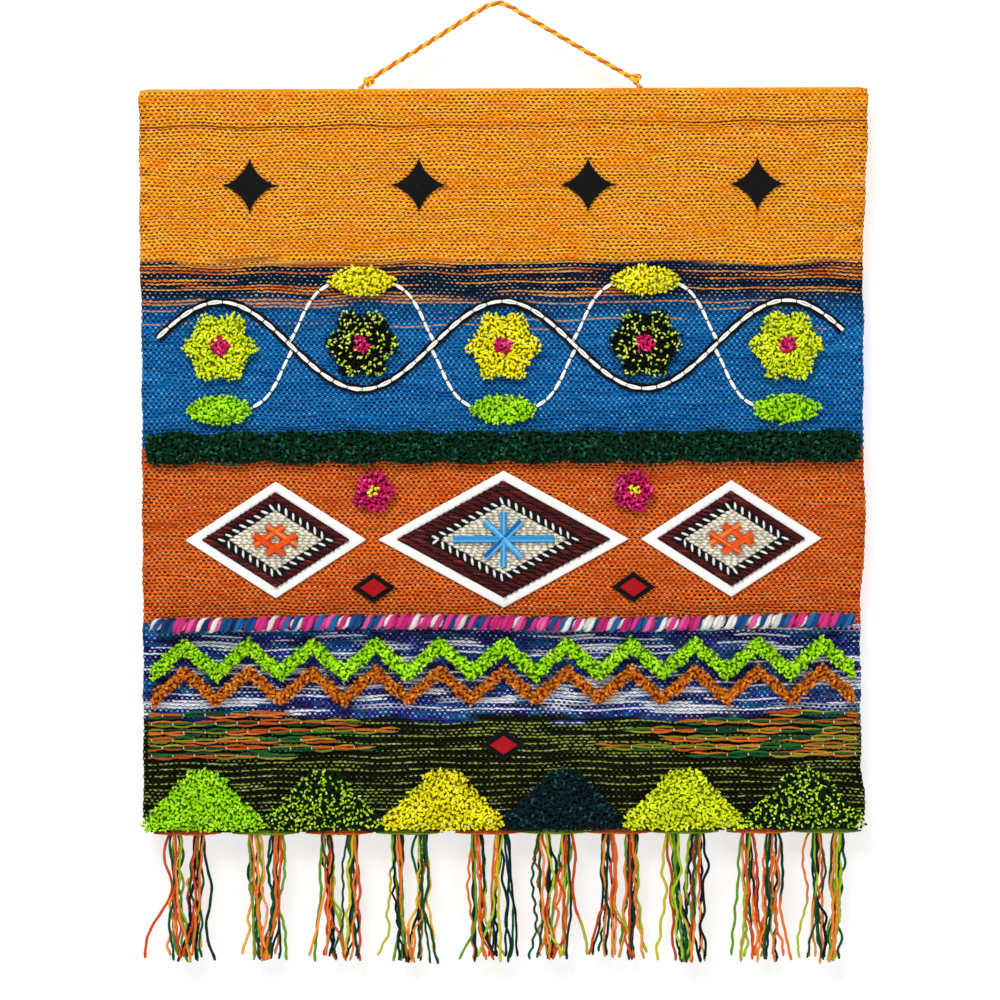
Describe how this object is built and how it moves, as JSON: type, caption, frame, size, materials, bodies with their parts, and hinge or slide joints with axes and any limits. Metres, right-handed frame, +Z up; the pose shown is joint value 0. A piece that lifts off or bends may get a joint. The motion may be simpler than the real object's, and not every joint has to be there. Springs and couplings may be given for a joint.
{
  "type": "woven wall hanging",
  "caption": "Thick woven wool wall hanging with raised pile motifs, couched rope, felt and taped lozenges, a yarn fringe below and a twisted cord to hang it by.",
  "frame": {"origin": "top of the hanger cord, where it bends over its nail", "axes": "+Z up, +X to the right seen from the front, -Y out of the decorated face towards the viewer"},
  "size_m": [0.4986, 0.0192, 0.6608],
  "materials": {
    "ground_weave": "weft-faced wool weave, ochre to blue, rust, navy and olive bands",
    "hanger_yarn": "two-ply twisted yarn",
    "fringe_orange": "twisted yarns, mostly orange and red",
    "fringe_green": "twisted yarns, mostly green and olive",
    "felt_black": "felt",
    "felt_red": "felt",
    "couched_black": "couched yarn band",
    "couched_white": "twisted white yarn",
    "pile_lime": "knotted wool pile",
    "pile_yellow_lime": "knotted wool pile",
    "pile_yellow": "knotted wool pile",
    "pile_dark_green": "knotted wool pile",
    "pile_teal": "knotted wool pile",
    "pile_orange": "knotted wool pile",
    "pile_pink": "knotted wool pile",
    "tape_white": "flat woven tape",
    "soumak_maroon": "wrapped-stitch weave",
    "soumak_cream": "wrapped-stitch weave",
    "wrapped_blue": "yarn-wrapped straps",
    "wrapped_orange": "yarn-wrapped straps",
    "garland_roving": "thick roving in pink, white and blue"
  },
  "bodies": {
    "root": {"blossom_1": "pile_pink", "blossom_2": "pile_pink", "border_1": "pile_lime", "border_2": "pile_dark_green", "border_3": "pile_yellow", "border_4": "pile_teal", "border_5": "pile_yellow_lime", "border_6": "pile_dark_green", "cloth": "ground_weave", "cream_left": "soumak_cream", "cream_middle": "soumak_cream", "cream_right": "soumak_cream", "felt_black_1": "felt_black", "felt_black_2": "felt_black", "felt_black_3": "felt_black", "felt_red_1": "felt_red", "felt_red_2": "felt_red", "felt_red_3": "felt_red", "felt_star_1": "felt_black", "felt_star_2": "felt_black", "felt_star_3": "felt_black", "felt_star_4": "felt_black", "flower_1": "pile_yellow_lime", "flower_2": "pile_dark_green", "flower_3": "pile_yellow", "flower_4": "pile_dark_green", "flower_5": "pile_yellow_lime", "fringe_01": "fringe_orange", "fringe_02": "fringe_green", "fringe_03": "fringe_orange", "fringe_04": "fringe_green", "fringe_05": "fringe_orange", "fringe_06": "fringe_green", "fringe_07": "fringe_orange", "fringe_08": "fringe_green", "fringe_09": "fringe_orange", "fringe_10": "fringe_green", "garland": "garland_roving", "green_band": "pile_dark_green", "hanger_cord": "hanger_yarn", "hanger_knot_left": "hanger_yarn", "hanger_knot_right": "hanger_yarn", "leaf_1": "pile_lime", "leaf_2": "pile_yellow", "leaf_3": "pile_lime", "leaf_4": "pile_yellow", "leaf_5": "pile_lime", "maroon_left": "soumak_maroon", "maroon_middle": "soumak_maroon", "maroon_right": "soumak_maroon", "straps_left": "wrapped_orange", "straps_middle": "wrapped_blue", "straps_right": "wrapped_orange", "tape_left": "tape_white", "tape_middle": "tape_white", "tape_right": "tape_white", "vine_band": "couched_black", "vine_yarn": "couched_white", "zigzag_lime": "pile_lime", "zigzag_orange": "pile_orange"}
  },
  "joints": []
}
